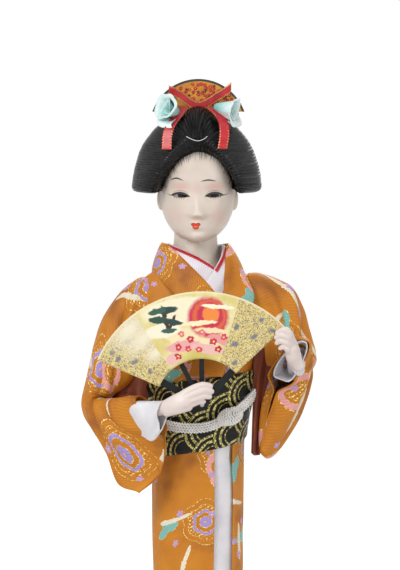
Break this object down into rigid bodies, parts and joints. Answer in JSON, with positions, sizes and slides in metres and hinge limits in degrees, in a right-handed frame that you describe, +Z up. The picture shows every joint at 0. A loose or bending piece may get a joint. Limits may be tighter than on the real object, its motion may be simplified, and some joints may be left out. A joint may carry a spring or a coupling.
{
  "type": "geisha doll",
  "caption": "Standing dressed doll in a long-sleeved kimono with brocade obi and dressed wig, holding an open hand fan, on a lacquered stand.",
  "frame": {"origin": "middle of the stand's resting plane, under the four felt pads", "axes": "+Z up, the doll looks along -Y, +X towards the doll's left hand"},
  "size_m": [0.15, 0.122, 0.3994],
  "materials": {
    "black_lacquered_wood": "black gloss lacquer",
    "felt": "pressed wool felt",
    "steel_wire": "drawn steel, bright",
    "wood_wool": "bound wood wool and wadding",
    "card": "rolled grey card",
    "softwood_dowel": "plain turned dowel",
    "white_cotton": "plain white cotton",
    "orange_brocade": "printed crepe with gold thread",
    "red_satin": "woven satin ribbon",
    "black_brocade": "black brocade with gold-green weft",
    "white_braid": "braided white cord",
    "painted_face": "sprayed pale, satin",
    "eye_glass": "dark brown glass",
    "black_hair_fibre": "combed black fibre, waxed",
    "gilt_comb": "gilt and painted",
    "mint_ribbon": "pale mint satin ribbon",
    "fan_paper": "printed card, varnished",
    "black_sticks": "black moulded sticks"
  },
  "bodies": {
    "stand": {"stand_board": "black_lacquered_wood", "felt_pad_1": "felt", "felt_pad_2": "felt", "felt_pad_3": "felt", "felt_pad_4": "felt", "stand_post": "steel_wire", "post_flange": "steel_wire"},
    "doll": {"trunk_core": "wood_wool", "skirt_cone": "card", "leg_dowel_right": "softwood_dowel", "leg_dowel_left": "softwood_dowel", "sock_right": "white_cotton", "sock_left": "white_cotton", "sandal_right": "black_lacquered_wood", "sandal_left": "black_lacquered_wood", "under_skirt": "white_cotton", "kimono_skirt": "orange_brocade", "kimono_bodice": "orange_brocade", "kimono_collar": "orange_brocade", "under_collar": "white_cotton", "collar_piping": "red_satin", "sleeve_right": "orange_brocade", "sleeve_left": "orange_brocade", "under_sleeve_right": "white_cotton", "under_sleeve_left": "white_cotton", "arm_right": "wood_wool", "arm_left": "wood_wool", "hand_right": "painted_face", "hand_left": "painted_face", "obi": "black_brocade", "obi_cord": "white_braid", "obi_cord_knot": "white_braid", "obi_drum": "black_brocade", "obi_tail": "black_brocade"},
    "head": {"head": "painted_face", "eye_right": "eye_glass", "eye_left": "eye_glass", "neck_dowel": "softwood_dowel", "hair_front": "black_hair_fibre", "hair_bun": "black_hair_fibre", "hair_side_right": "black_hair_fibre", "hair_side_left": "black_hair_fibre", "hair_back": "black_hair_fibre", "comb": "gilt_comb", "ribbon_band": "red_satin", "ribbon_tail_right": "red_satin", "ribbon_tail_left": "red_satin"},
    "flower_right": {"rosette_right": "mint_ribbon", "hairpin_right": "steel_wire"},
    "flower_left": {"rosette_left": "mint_ribbon", "hairpin_left": "steel_wire"},
    "fan": {"fan_leaf": "fan_paper", "fan_guard_left": "black_sticks", "fan_guard_right": "black_sticks", "fan_rib_1": "black_sticks", "fan_rib_2": "black_sticks", "fan_rivet": "steel_wire"}
  },
  "joints": [
    {"name": "doll_lift", "type": "slide", "parent": "stand", "child": "doll", "axis": [0, 0, 1], "range_m": [0, 0.22]},
    {"name": "head_turn", "type": "hinge", "parent": "doll", "child": "head", "pos_m": [-0.0032, 0.002, 0.3], "axis": [0, 0, 1], "range_deg": [-30, 30]},
    {"name": "rosette_right_pull", "type": "slide", "parent": "head", "child": "flower_right", "axis": [-0.4947, -0.4711, 0.7303], "range_m": [0, 0.012]},
    {"name": "rosette_left_pull", "type": "slide", "parent": "head", "child": "flower_left", "axis": [0.4766, -0.4766, 0.7387], "range_m": [0, 0.012]},
    {"name": "fan_pull", "type": "slide", "parent": "doll", "child": "fan", "axis": [-0.1607, 0, 0.987], "range_m": [0, 0.06]}
  ]
}
